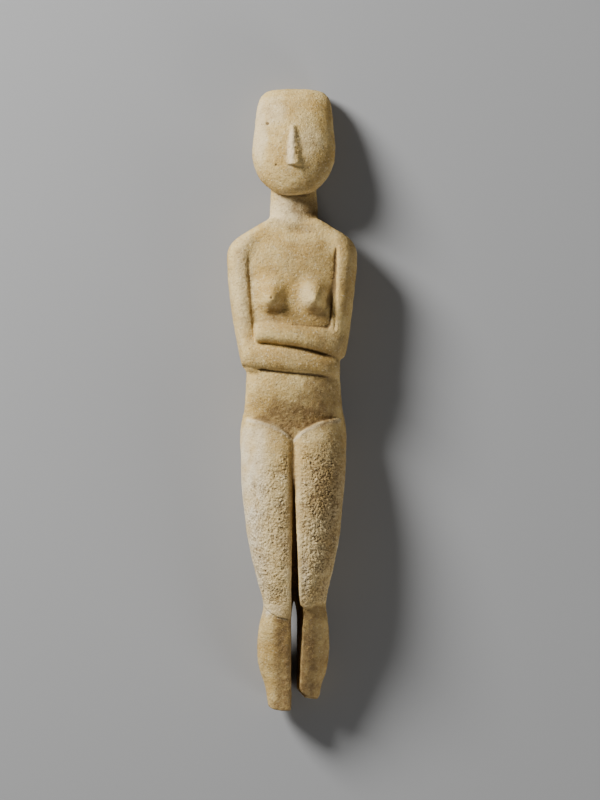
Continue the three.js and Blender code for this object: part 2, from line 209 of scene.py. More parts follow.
trunk_shape = middle_limb(
    [
        [NECK_FOOT + 9, 39, 10, 25],
        [NECK_FOOT - 4, 38.6, 7, 29],
        [NECK_FOOT - 12, 38.4, 4.6, 32.2],
        [ARMPITS, 38.4, 1.8, 34.8],
        [BREASTS + 8, 37.4, -0.3, 36.6],
        [BREASTS - 14, 33.5, 0.6, 37.1],
        [ELBOWS + 12, 30, 2.6, 37],
        [WAIST + 8, 29.9, 2.8, 37.6],
        [WAIST - 3, 30.4, 2.8, 37.9],
        [WAIST - 11, 31, 2.4, 36],
        [WAIST - 18, 31.7, 1.8, 33.9],
        [GROIN + 12, 32.5, 1.2, 32.6],
        [GROIN + 7, 33.1, 0.8, 32],
        [GROIN - 2, HIPS, 2.5, 31.6],
        [GROIN - 18, 30, 11, 27],
    ],
    rounder(2.25, 2.8),
)

# Each upper arm is highest near the body; its stations run on into the trunk.
left_arm = limb(
    [
        [NECK_FOOT + 8, -40, -21, 10, 27],
        [NECK_FOOT - 8, -41, -21.8, 7, 30.4],
        [ARMPITS + 2, -SHOULDERS, -22.8, 5, 33],
        [ARMPITS - 12, -41.2, -22.6, 3.6, 34.4],
        [BREASTS, -39.7, -21.4, 3.4, 35],
        [ELBOWS + 30, -37.7, -19.6, 3.8, 35.2],
        [ELBOWS + 18, -35.6, -18.6, 4.6, 35.2],
        [ELBOWS + 9, -33.4, -17.4, 5.4, 35],
        [ELBOWS - 1, -30, -17, 7.5, 33.6],
    ],
    rounder(2.1, 2.4),
)

right_arm = limb(
    [
        [NECK_FOOT + 8, 22, 40, 10, 27],
        [NECK_FOOT - 8, 23.2, 41, 7, 30.4],
        [ARMPITS + 2, 24.6, SHOULDERS, 5, 33],
        [ARMPITS - 12, 24.6, 41.2, 3.6, 34.8],
        [BREASTS, 23.8, 39.7, 3.4, 35.4],
        [ELBOWS + 30, 22.6, 37.8, 3.8, 35],
        [ELBOWS + 18, 21.4, 35.4, 4.6, 34],
        [ELBOWS + 12, 20.6, 33.3, 5.4, 33],
        [ELBOWS + 5, 19, 30.2, 7.5, 31.5],
    ],
    rounder(2.1, 2.4),
    crest=0.38,
)

# The right arm's forearm lies above the left arm's, and both are let into the belly.
upper_forearm = limb(
    [
        [-24.2, 36.2, 48.4, 26, 40],
        [-20, 36, 48.6, 26, 41.6],
        [-12, 35, 48.4, 26, 42.9],
        [0, 33.2, 47.8, 26, 43.3],
        [12, 30.8, 47, 25, 42.2],
        [22, 28.2, 45.8, 23, 39.6],
        [29, 26.8, 44.6, 18, 36.6],
        [33.3, 27.2, 43.5, 14, 32.5],
    ],
    rounder(2.2, 2.2),
)

lower_forearm = limb(
    [
        [-31.8, 21, 38, 12, 33.6],
        [-27, 19.6, 37.6, 16, 37.4],
        [-16, 17.8, 36.4, 22, 41],
        [0, 16, 33.8, 24, 42.2],
        [12, 15, 31.2, 24, 41.2],
        [22, 14.2, 28.8, 23, 38.6],
        [30, 14.6, 28.2, 20, 34],
    ],
    rounder(2.2, 2.2),
)

# Each leg is highest about a third of the way out from the cleft.
leg_shape = limb(
    [
        [GROIN + 17, -1.5, 30.6, 7.5, 34.5],
        [GROIN + 8, -1.5, 32.2, 3, 36.4],
        [SEAT + 4, -1.5, HIPS + 0.3, 0, 39.4],
        [SEAT - 8, -1.5, HIPS + 0.4, -0.3, 41.8],
        [SEAT - 22, -1.5, 32.8, 0.8, 43.9],
        [SEAT - 40, -1.5, 31, 3.2, 45.4],
        [SEAT - 54, -1.5, 29, 5.2, 46],
        [KNEES + 28, -1.5, 26.5, 7, 46.2],
        [KNEES + 15, -1.5, 23.5, 8.8, 45.4],
        [KNEES + 3, -1.5, 20.5, 9.8, 43],
        [KNEES - 3, -1.5, 20.2, 9.4, 41.2],
        [KNEES - 10, -1.5, 21.7, 8, 38.8],
        [KNEES - 18, -1.5, 22.8, 5.6, 36],
        [CALVES - 6, -1.5, 22.9, 1.6, 31.6],
        [CALVES - 16, -1.5, 21.2, -0.3, 29],
        [CALVES - 24, -1.5, 18.5, 0.2, 27.4],
        [SHIN_END + 8, -1.5, 16.8, 2, 25.6],
        [SHIN_END - 8, -1.5, 14, 5, 23],
    ],
    lambda u, w: np.where(u < 0, 3.0, np.where(w > 0, 2.0, 2.4)),
    crest=0.38,
)


def head(x, y, z):
    crown = y - (CROWN + 1.0 - x * x / 140)
    jaw = CHIN - 0.8 + x * x / 80 + (36 - z) * 0.16 - y
    return trimmed(trimmed(head_shape(y, x, z), crown, 8), jaw, 9)


def nose(x, y, z):
    """A long blade that widens and rises downwards, its crest right of its middle."""
    drop = np.clip((CHIN + 47 - y) / 26.5, 0, 1.1)
    middle = 0.4 + 1.0 * drop
    half = 2.3 + 1.9 * drop
    crest = 32 + 8.8 * drop**0.6
    across = x - middle
    left = (-across - half) * 0.87 + (z - crest + 3.4) * 0.5
    right = (across - half) * 0.7 + (z - crest + 2.6) * 0.7
    sides = trimmed(trimmed(left, right, 1.2), z - crest, 1.4)
    foot = CHIN + 20.6 - y + (z - 36) * 0.12 - 0.05 * across
    whole = np.maximum(trimmed(trimmed(sides, y - CHIN - 47.5, 3), foot, 0.7), 27 - z)
    # Where flakes are lost along its right edge and tip: across, up the face, outwards, radius.
    for at_x, at_y, at_z, radius in (
        (3.2, CHIN + 42.2, 35.6, 1.5),
        (4.3, CHIN + 35.2, 38.6, 1.7),
        (4.9, CHIN + 31.4, 39.6, 1.6),
        (-0.6, CHIN + 23.6, 42.6, 1.5),
    ):
        flake = np.sqrt((x - at_x) ** 2 + ((y - at_y) * 0.8) ** 2 + (z - at_z) ** 2)
        whole = trimmed(whole, radius - flake, 0.6)
    return whole


def breasts(x, y):
    """How far two cones, pointed below their middles, lift the chest."""
    lift = 0
    for peak, left_reach, right_reach in ((-13.7, 11.5, 11), (14.6, 12, 9)):
        across = (x - peak) / np.where(x < peak, left_reach, right_reach)
        across = across / (1 + 0.03 * np.clip(y - BREASTS, 0, 15))
        along = (y - BREASTS) / np.where(y > BREASTS, 19, 10.8)
        gap = np.clip(np.hypot(across, along), 0, 1)
        lift = lift + 0.65 * (1 + np.cos(math.pi * gap)) / 2 + 0.35 * (1 - gap) ** 1.5
    return 9.2 * lift


def groin_height(side):
    return GROIN + 15 * (1 - np.exp(-side / 14))


def incised(off, z, width, depth):
    """How far a cut line takes the front surface down, at a distance off from its middle."""
    return depth * np.exp(-((off / width) ** 2)) * (z > 20)


# The lines cut between the forearms and below them, as heights at places across the body.
between_forearms = curve([[-27, 36.6], [-19, 36], [7, 33], [23.5, 27.9], [31, 26]])
below_forearms = curve([[-31, 20.9], [-16.5, 18.7], [1, 16.9], [12.6, 16], [24, 14.6], [30, 13.5]])


def body(px, y, z):
    """The whole figure before its clefts are sawn and its shins are broken."""
    x = px - sway(y)[0]
    side = np.abs(x)
    left = x < 0
    armpit = np.clip((y - ARMPITS + 2) / 14, 0, 1)
    arm = np.where(left, left_arm(y, x, z), right_arm(y, x, z))
    lower = lower_forearm(px, y, z)
    upper = upper_forearm(px, y, z)
    arm = joined(arm, np.where(left, lower, upper), 5.5)
    lifted = z - breasts(px, y) * blend(z, 14, 26)
    trunk = trunk_shape(y, x, lifted)
    trunk = joined(trunk, arm, np.where(left, 2.2, 1.0) + 8 * armpit)
    trunk = trimmed(trunk, y - (NECK_FOOT + 3.6 - 0.6 * np.maximum(side - 15, 0)), 9)
    trunk = joined(trunk, np.where(left, upper, lower), 2.4)
    legs = trimmed(leg_shape(y, np.hypot(x, 1.2), z), y - groin_height(side), 1.8)
    top = joined(joined(head(x, y, z), neck_shape(y, x, z), 1.5), trunk, 3)
    seat = np.clip((20 - z) / 10, 0, 1)
    whole = joined(top, legs, 1 + 6 * seat)
    whole = joined(whole, nose(px, y, z), 1.2)
    spine = np.where(z < 15, 0.9 * np.exp(-((x / 1.8) ** 2)), 0)
    whole = whole + spine * np.clip(np.minimum((y - GROIN) / 20, (NECK_FOOT - y) / 15), 0, 1)
    left_line = np.interp(y, [ELBOWS + 15, BREASTS, ARMPITS + 2], [-24.0, -26.8, -28.2])
    right_line = np.interp(y, [ELBOWS + 26, BREASTS, ARMPITS + 6], [27.2, 27.6, 28.1])
    left_fade = blend(y, ARMPITS + 3, ARMPITS - 4) * blend(y, ELBOWS + 12, ELBOWS + 17)
    right_fade = blend(y, ARMPITS + 9, ARMPITS + 2) * blend(y, ELBOWS + 23, ELBOWS + 27)
    whole = whole + incised(px - left_line, z, 0.6, 0.4) * left_fade
    whole = whole + incised(px - right_line, z, 0.9, 1.3) * right_fade
    middle_fade = blend(px, -24, -17) * blend(px, 34, 30)
    whole = whole + incised(y - between_forearms(px)[0], z, 1.5, 0.5) * middle_fade
    valley = incised(px + 6.6, z, 2.4, 0.5) * blend(y, KNEES - 10, KNEES - 22)
    whole = whole + valley
    low_fade = blend(px, -36, -31) * blend(px, 28, 16)
    return whole + incised(y - below_forearms(px)[0], z, 1.3, 1.0) * low_fade


# ---- Clefts and breaks --------------------------------------------------------------------------
def clefts(x, y, z):
    """The sawn cleft in front, the one behind, and the slot that parts the calves."""
    down = np.clip((GROIN - 2 - y) / (GROIN - 2 - KNEES), 0, 1)
    rise = (z - 37) / 33
    half = 0.2 + 2.4 * down + (0.2 + 0.75 * down) * rise
    middle = 0.75 + 0.95 * down + (0.1 + 0.85 * down) * rise
    floor = front_floor(y)[0]
    wider = 1.9 * blend(y, KNEES + 8, KNEES - 12) * np.clip((z - 14) / 16, 0, 1.2)
    across = np.maximum(x - middle - wider, middle - x)
    front = np.maximum(across - np.maximum(half, 0.1), floor - z)
    front = np.maximum(front, y - (GROIN - 1))
    behind = 3 + 12 * down
    back = np.maximum(np.abs(x - 0.7 - 0.4 * down) - (0.2 + 1.6 * down), z - behind)
    back = np.maximum(back, y - (GROIN + 1))
    open_half = 1.9 * blend(y, KNEES + 2.5, KNEES - 11) ** 0.5
    slot = np.maximum(np.abs(x - 1.05) - open_half, y - (KNEES + 1.5))
    return np.minimum(np.minimum(front, back), slot)


# How deep the front cleft is cut at each height.
front_floor = curve(
    [
        [GROIN, 40.6],
        [GROIN - 12, 40.6],
        [GROIN - 20, 39.2],
        [GROIN - 35, 38],
        [GROIN - 70, 37.5],
        [KNEES + 14, 33],
        [KNEES, 25],
        [CALVES, 14],
        [SHIN_END, 8],
    ]
)


def breaks(x, y, z):
    """How far a point is above the broken ends of the shins."""
    left = y - (SHIN_END + 0.4 - 0.12 * (x + 6) - 0.08 * (z - 18) + 0.016 * (x + 8) ** 2)
    inner = SHIN_END + 9.4 - 1.12 * (x - 8)
    lower = SHIN_END + 9.2 - 0.16 * (x - 8)
    outer = SHIN_END + 8.0 + 1.3 * (x - 16)
    right = y - np.maximum(np.maximum(inner, lower), outer) - 0.08 * (z - 18)
    return np.where(x < 1.2, left, right * 0.75)


def figure(x, y, z):
    cut = trimmed(body(x, y, z), -clefts(x, y, z), 0.9)
    cut = trimmed(cut, -breaks(x, y, z), 1.0)
    return np.maximum(cut, -z)


# ---- Noise --------------------------------------------------------------------------------------
def scattered(cell, seed):
    """A repeatable number from 0 to 1 for each integer cell [n, 3]."""
    with np.errstate(over="ignore"):
        n = cell.astype(np.int64).astype(np.uint32)
        h = n[:, 0] * np.uint32(374761393) + n[:, 1] * np.uint32(668265263)
        h = h + n[:, 2] * np.uint32(2246822519) + np.uint32(seed * 3266489917 % 2**32)
        h = (h ^ (h >> np.uint32(15))) * np.uint32(2246822519)
        h = (h ^ (h >> np.uint32(13))) * np.uint32(3266489917)
        h = h ^ (h >> np.uint32(16))
    return h.astype(np.float64) / 2**32


def noise(points, size, seed):
    """Gradient noise from about -1 to 1, with features of the given size."""
    q = points / size
    base = np.floor(q)
    f = q - base
    w = f * f * f * (f * (f * 6 - 15) + 10)
    total = np.zeros(len(q))
    for corner in np.ndindex(2, 2, 2):
        cell = base + corner
        angle = scattered(cell, seed) * 2 * math.pi
        level = scattered(cell, seed + 101) * 2 - 1
        flat = np.sqrt(1 - level * level)
        d = f - corner
        slope = d[:, 0] * np.cos(angle) * flat + d[:, 1] * np.sin(angle) * flat + d[:, 2] * level
        weight = np.ones(len(q))
        for axis in range(3):
            weight = weight * (w[:, axis] if corner[axis] else 1 - w[:, axis])
        total += slope * weight
    return total * 1.6


def fractal(points, size, seed, octaves=3, gain=0.5):
    total = np.zeros(len(points))
    strength = 1.0
    for octave in range(octaves):
        total += noise(points, size / 2**octave, seed + octave) * strength
        strength *= gain
    return total


def pits(points, size, seed, share=1.0, radius=(0.2, 0.45)):
    """Round hollows from 0 to 1 deep, one in a share of the cells of the given size."""
    q = points / size
    base = np.floor(q)
    deepest = np.zeros(len(q))
    for step in np.ndindex(3, 3, 3):
        cell = base + np.array(step) - 1
        middle = cell + 0.2 + 0.6 * np.stack([scattered(cell, seed + k) for k in range(3)], axis=1)
        wide = radius[0] + (radius[1] - radius[0]) * scattered(cell, seed + 3) ** 2
        present = scattered(cell, seed + 4) < share
        gap = np.linalg.norm(q - middle, axis=1) / wide
        hollow = np.clip(1 - gap * gap, 0, 1) ** 1.5 * present * (0.5 + 0.5 * scattered(cell, seed + 5))
        deepest = np.maximum(deepest, hollow)
    return deepest


# ---- Meshing ------------------------------------------------------------------------------------
def sampled_form():
    """The form on a regular grid: its values and the grid's three axes."""
    margin = 2.2
    low = [v / MM - margin for v in lowest]
    high = [v / MM + margin for v in highest]
    axes = [np.arange(a, b, GRID) for a, b in zip(low, high)]
    x = axes[0][:, None]
    z = axes[2][None, :]
    slices = [figure(x, float(y), z).astype(np.float32) for y in axes[1]]
    return np.stack(slices, axis=1), axes


def surface_net(values, axes):
    """Quads through the middles of the grid cells that the surface crosses."""
    inside = values < 0
    corners = [(i, j, k) for i in (0, 1) for j in (0, 1) for k in (0, 1)]
    shape = [n - 1 for n in values.shape]
    count = sum(
        inside[i : i + shape[0], j : j + shape[1], k : k + shape[2]].astype(np.uint8)
        for i, j, k in corners
    )
    cells = np.argwhere((count > 0) & (count < 8))
    number = -np.ones(shape, dtype=np.int64)
    number[tuple(cells.T)] = np.arange(len(cells))

    at_corner = [values[tuple((cells + c).T)].astype(float) for c in corners]
    total = np.zeros((len(cells), 3))
    crossings = np.zeros(len(cells))
    for a, first in enumerate(corners):
        for b, second in enumerate(corners):
            if b <= a or sum(abs(p - q) for p, q in zip(first, second)) != 1:
                continue
            va, vb = at_corner[a], at_corner[b]
            crosses = (va < 0) != (vb < 0)
            t = np.where(crosses, va / np.where(crosses, va - vb, 1), 0)
            point = np.array(first) + t[:, None] * (np.array(second) - np.array(first))
            total += point * crosses[:, None]
            crossings += crosses
    origin = np.array([a[0] for a in axes])
    points = origin + (cells + total / crossings[:, None]) * GRID

    quads = []
    for axis in range(3):
        u, v = (axis + 1) % 3, (axis + 2) % 3
        here = [slice(1, -1)] * 3
        there = [slice(1, -1)] * 3
        here[axis] = slice(0, -1)
        there[axis] = slice(1, None)
        a, b = inside[tuple(here)], inside[tuple(there)]
        for leaving in (True, False):
            edges = np.argwhere((a & ~b) if leaving else (~a & b))
            start = edges + 1
            start[:, axis] -= 1
            around = []
            for du, dv in ((-1, -1), (0, -1), (0, 0), (-1, 0)):
                cell = start.copy()
                cell[:, u] += du
                cell[:, v] += dv
                around.append(number[tuple(cell.T)])
            if not leaving:
                around.reverse()
            quads.append(np.stack(around, axis=1))
    return points, np.concatenate(quads)


def vertex_normals(points, quads):
    p = points[quads]
    face = np.cross(p[:, 2] - p[:, 0], p[:, 3] - p[:, 1])
    normals = np.zeros_like(points)
    for corner in range(4):
        for axis in range(3):
            normals[:, axis] += np.bincount(quads[:, corner], face[:, axis], len(points))
    return normals / np.maximum(np.linalg.norm(normals, axis=1, keepdims=True), 1e-9)


def creases(values, axes, points):
    """0 to 1 where the surface is a narrow valley: the form's mean around the point is negative."""
    mean = values.clip(-6, 6)
    reach = round(2 / GRID)
    for axis in (0, 1, 2, 0, 1, 2):
        total = np.cumsum(mean, axis=axis, dtype=np.float64)
        ahead = np.take(total, np.minimum(np.arange(total.shape[axis]) + reach, total.shape[axis] - 1), axis)
        behind = np.take(total, np.maximum(np.arange(total.shape[axis]) - reach - 1, 0), axis)
        mean = (ahead - behind) / (2 * reach + 1)
    origin = np.array([a[0] for a in axes])
    cell = np.rint((points - origin) / GRID).astype(int)
    cell = np.clip(cell, 0, np.array(values.shape) - 1)
    bulge = mean[tuple(cell.T)] - values[tuple(cell.T)]
    return blend(bulge, -0.22, -0.9)


def mesh_object(name, points, faces):
    mesh = bpy.data.meshes.new(name)
    mesh.from_pydata((points * MM).tolist(), [], faces.tolist())
    mesh.update()
    made = bpy.data.objects.new(name, mesh)
    bpy.context.scene.collection.objects.link(made)
    return made


def thinned(piece, triangles):
    """Collapse the edges that matter least until the mesh has the number of triangles."""
    have = sum(len(p.vertices) - 2 for p in piece.data.polygons)
    if have <= triangles:
        return
    modifier = piece.modifiers.new("thin", "DECIMATE")
    modifier.ratio = triangles / have
    graph = bpy.context.evaluated_depsgraph_get()
    mesh = bpy.data.meshes.new_from_object(piece.evaluated_get(graph))
    piece.modifiers.clear()
    old = piece.data
    piece.data = mesh
    bpy.data.meshes.remove(old)


# ---- Weathering ---------------------------------------------------------------------------------
def zones(p, n):
    """Where the stone is eaten away: 0 to 1 for points p with normals n."""
    x, y = p[:, 0] - sway(p[:, 1])[0], p[:, 1]
    front = blend(n[:, 2], -0.1, 0.3)
    drift = fractal(p, 16, 11) * 5
    thigh = blend(y, GROIN + 6, GROIN - 3) * blend(y, KNEES - 3, KNEES + 2)
    inner_left = blend(x + 0.2 * drift, -3.0, -5.5) * (0.5 + 0.5 * blend(x + drift, -35, -22))
    low_left = 0.12 + 0.88 * blend(y - 0.8 * x + drift, GROIN + 8, GROIN - 14)
    left = (x < 0) * inner_left * low_left
    right = (x >= 0) * blend(x, 3.6, 6.0) * (0.5 + 0.5 * blend(x + 0.5 * drift, 33, 25))
    right = right * (0.45 + 0.55 * blend(y + drift, GROIN, GROIN - 16))
    corroded = thigh * front * (left * 0.9 + right)
    triangle = blend(np.abs(x), 12, 8) * blend(y, GROIN - 2, GROIN + 1) * blend(y, GROIN + 10, GROIN + 6)
    return np.clip(corroded + 0.4 * front * triangle, 0, 1)


def knee_joins(p):
    """Distances above the mended break of the left knee and the chipped edge of the right one."""
    x, y = p[:, 0], p[:, 1]
    left = y - np.interp(x, [-19, -14.3, -9.8, -4], [KNEES - 1.6, KNEES - 5.9, KNEES - 8.4, KNEES - 9.4])
    right = y - np.interp(x, [4.9, 8.1, 12.6, 17], [KNEES - 0.7, KNEES - 2.6, KNEES - 1.4, KNEES + 1.6])
    return left, right


def dented(p, places):
    """Single hollows, 0 to 1 deep, at [x, y, radius] on the front."""
    deepest = np.zeros(len(p))
    for x, y, radius in places:
        gap = np.hypot(p[:, 0] - x, p[:, 1] - y) / radius
        deepest = np.maximum(deepest, np.clip(1 - gap * gap, 0, 1) * (p[:, 2] > 20))
    return deepest


def weathered(p, n):
    """How far the surface stands out (mm), and how hollow it is there (0 to 1)."""
    x, y = p[:, 0], p[:, 1]
    corroded = zones(p, n)
    front = blend(n[:, 2], -0.6, 0.1)
    lumps = fractal(p, 26, 21, 2) * 0.30 + fractal(p, 8, 25, 2) * 0.16
    grain = fractal(p, 2.4, 31, 2) * 0.15 * (0.4 + 0.6 * front)
    knob = blend(np.hypot((x - 1) / 6, (y - CHIN - 33) / 16), 1.15, 0.8) * (p[:, 2] > 30)
    grain = grain + noise(p, 2.6, 35) * 0.4 * knob
    worms = np.abs(noise(p * [0.9, 1.1, 1], 1.5, 41)) + 0.7 * np.abs(noise(p, 1.15, 43))
    eaten = (worms - 0.5) * 1.15 + fractal(p, 5, 45, 2) * 0.25 - pits(p, 2.0, 47, 0.55) * 0.6
    small = pits(p, 2.8, 51, 0.3, (0.14, 0.28)) * front
    large = pits(p, 8.0, 55, 0.14, (0.07, 0.15))
    streaks = pits(p * [1, 0.35, 1], 2.6, 59, 0.5, (0.14, 0.26))
    streaks = streaks * blend(y, KNEES - 12, KNEES - 18) * blend(y, KNEES - 42, KNEES - 30) * (x > 12)
    cluster = pits(p, 1.9, 63, 0.9, (0.3, 0.45)) * blend(np.hypot(x + 9.2, y - SHIN_END - 6.4), 3.4, 1.6)
    lone = dented(p, [[-16.2, CROWN - 22.8, 1.5], [-10.4, CROWN - 49.7, 0.9], [-13.4, BREASTS + 1, 1.1]])
    left_knee, right_knee = knee_joins(p)
    fore = blend(p[:, 2], 22, 30)
    seam = np.exp(-((left_knee / 0.6) ** 2)) * (x < -3) * fore
    step = blend(left_knee, 0.4, -0.8) * blend(left_knee, -16, -2) * blend(x, -2, -4) * fore
    notch = blend(right_knee, 0.8, -1.2) * blend(right_knee, -14, -2) * blend(x, 3, 6) * fore
    crack = np.exp(-(((y - CROWN + 84.8 + 0.05 * x) / 0.5) ** 2)) * blend(np.abs(x - 3), 7.5, 6) * fore
    throat = np.exp(-(((x - 4) / 9) ** 2 + ((y - NECK_FOOT + 3) / 3) ** 2)) * fore
    sunk = 0.35 * small + 0.6 * large + 0.5 * streaks + 0.6 * cluster + 0.9 * lone
    sunk = sunk + 0.5 * seam + 0.8 * step + 1.3 * notch + 0.45 * crack + 1.1 * throat
    depth = lumps + grain * (1 - corroded) - sunk + corroded * (eaten - 0.15)
    hollow = small * 0.7 + large + streaks + cluster + lone + 0.6 * crack + 0.5 * seam + 0.35 * throat
    hollow = hollow + corroded * np.clip(0.1 - eaten * 1.1, 0, 1)
    return depth, np.clip(hollow, 0, 1)


def kept_flat(p):
    """1 on the resting plane and near it, where the surface isn't moved."""
    return blend(p[:, 2], 1.2, 0.2)


# ---- Stone --------------------------------------------------------------------------------------
class Nodes:
    """A material's node tree, with short calls for what the stone needs."""

    def __init__(self, name):
        self.material = bpy.data.materials.new(name)
        self.material.use_nodes = True
        self.tree = self.material.node_tree
        self.tree.nodes.clear()
        self.place = self.add("ShaderNodeTexCoord").outputs["Object"]

    def add(self, kind, **inputs):
        node = self.tree.nodes.new(kind)
        for name, value in inputs.items():
            self.put(node.inputs[name.replace("_", " ")], value)
        return node

    def put(self, socket, value):
        if isinstance(value, bpy.types.NodeSocket):
            self.tree.links.new(value, socket)
        else:
            socket.default_value = value

    def attribute(self, name):
        node = self.add("ShaderNodeAttribute")
        node.attribute_name = name
        return node.outputs["Fac"]

    def texture(self, size, detail=3.0, rough=0.55, stretch=(1, 1, 1), shift=0.0):
        """Noise from 0 to 1 whose features are size millimetres across."""
        mapping = self.add("ShaderNodeMapping", Vector=self.place)
        mapping.inputs["Scale"].default_value = stretch
        mapping.inputs["Location"].default_value = (shift, 0.37 * shift, 0)
        node = self.add("ShaderNodeTexNoise", Vector=mapping.outputs["Vector"])
        node.inputs["Scale"].default_value = 1 / (size * MM)
        node.inputs["Detail"].default_value = detail
        node.inputs["Roughness"].default_value = rough
        return node.outputs["Fac"]

    def ramp(self, value, low, high, to_low=0.0, to_high=1.0):
        node = self.add("ShaderNodeMapRange", Value=value)
        node.interpolation_type = "SMOOTHSTEP"
        node.inputs["From Min"].default_value = low
        node.inputs["From Max"].default_value = high
        node.inputs["To Min"].default_value = to_low
        node.inputs["To Max"].default_value = to_high
        return node.outputs["Result"]

    def maths(self, operation, a, b):
        node = self.add("ShaderNodeMath")
        node.operation = operation
        node.use_clamp = operation != "SUBTRACT"
        self.put(node.inputs[0], a)
        self.put(node.inputs[1], b)
        return node.outputs[0]

    def mix(self, amount, below, above, blending="MIX"):
        node = self.add("ShaderNodeMix")
        node.data_type = "RGBA"
        node.blend_type = blending
        self.put(node.inputs[0], amount)
        self.put(node.inputs[6], below)
        self.put(node.inputs[7], above)
        return node.outputs[2]


def stone():
    m = Nodes("marble")
    cream = (0.63, 0.455, 0.175, 1)
    ochre = (0.44, 0.27, 0.065, 1)
    pale = (0.72, 0.62, 0.42, 1)
    umber = (0.21, 0.125, 0.04, 1)
    brown = (0.10, 0.055, 0.018, 1)
    patina = m.ramp(m.texture(22, 5, 0.62), 0.40, 0.62)
    blotch = m.ramp(m.texture(6, 5, 0.68, shift=0.11), 0.42, 0.66)
    colour = m.mix(m.maths("MULTIPLY", patina, 0.75), cream, ochre)
    colour = m.mix(m.maths("MULTIPLY", blotch, 0.45), colour, ochre)
    # The pale mask is partly the stone's own tone and partly painted light.
    colour = m.mix(m.attribute("pale"), colour, pale)
    cloud = m.ramp(m.texture(9, 5, 0.65, shift=0.17), 0.46, 0.70)
    colour = m.mix(m.maths("MULTIPLY", cloud, 0.30), colour, umber)
    # The stain mask holds the stone's real stains and also painted shade; noise makes it patchy.
    uneven_stain_and_shade = m.ramp(m.texture(4, 5, 0.7, shift=0.19), 0.25, 0.75, 0.55, 1.25)
    colour = m.mix(m.maths("MULTIPLY", m.attribute("stain_and_painted_shade"), uneven_stain_and_shade), colour, umber)
    speck = m.ramp(m.texture(1.5, 3, 0.65, shift=0.23), 0.55, 0.72)
    colour = m.mix(m.maths("MULTIPLY", speck, 0.8), colour, umber)
    fleck = m.ramp(m.texture(1.3, 3, 0.65, shift=0.31), 0.55, 0.72)
    seen = m.ramp(m.attribute("stain_and_painted_shade"), 0.2, 0.9, 0.6, 0.2)
    colour = m.mix(m.maths("MULTIPLY", fleck, seen), colour, pale)
    # Dark brown: soil in pits, and painted shade in creases.
    dirt_and_painted_shade = m.ramp(m.attribute("hollow"), 0.05, 0.8, 0.0, 0.85)
    colour = m.mix(dirt_and_painted_shade, colour, brown)
    rough = m.ramp(m.texture(5, 3, 0.6, shift=0.4), 0.3, 0.7, 0.62, 0.78)
    fine = m.texture(0.7, 3, 0.7, shift=0.5)
    medium = m.texture(1.8, 4, 0.65, shift=0.6)
    height = m.maths("ADD", m.maths("MULTIPLY", fine, 0.3), m.maths("MULTIPLY", medium, 0.7))
    bump = m.add("ShaderNodeBump", Height=height)
    bump.inputs["Strength"].default_value = 1.0
    bump.inputs["Distance"].default_value = 1.2 * MM
    shader = m.add(
        "ShaderNodeBsdfPrincipled", Base_Color=colour, Roughness=rough, Normal=bump.outputs["Normal"]
    )
    shader.inputs["IOR"].default_value = 1.5
    shader.inputs["Specular IOR Level"].default_value = 0.3
    output = m.add("ShaderNodeOutputMaterial")
    m.put(output.inputs["Surface"], shader.outputs["BSDF"])
    return m.material


def plain(name, colour, roughness):
    m = Nodes(name)
    shader = m.add("ShaderNodeBsdfPrincipled", Base_Color=colour, Roughness=roughness)
    output = m.add("ShaderNodeOutputMaterial")
    m.put(output.inputs["Surface"], shader.outputs["BSDF"])
    return m.material


def spread(x, y, drift, places):
    """Soft patches from 0 to 1 at [x, y, half width, half height, strength]."""
    total = np.zeros(len(x))
    for at_x, at_y, wide, high, strength in places:
        gap = np.hypot((x - at_x) / wide, (y - at_y) / high) + 0.35 * drift
        total = np.maximum(total, strength * blend(gap, 1.25, 0.55))
    return total


def less_painted_shade(x, y):
    """0 to 1 where a crease gets less painted shade: the groin, left arm and nose, and the left of the
    chest.
    """
    groin_line = blend(np.abs(y - groin_height(np.abs(x))), 6, 3)
    left_groove = blend(x, -20, -22) * blend(y, ELBOWS + 8, ELBOWS + 12)
    beside_nose = blend(np.abs(y - CHIN - 34), 18, 14) * blend(x, 1, -1)
    left_chest = blend(x, 8, -8) * blend(y, ELBOWS + 5, ELBOWS + 8)
    return np.clip(0.4 * groin_line + 0.6 * left_groove + beside_nose + 0.5 * left_chest, 0, 1)


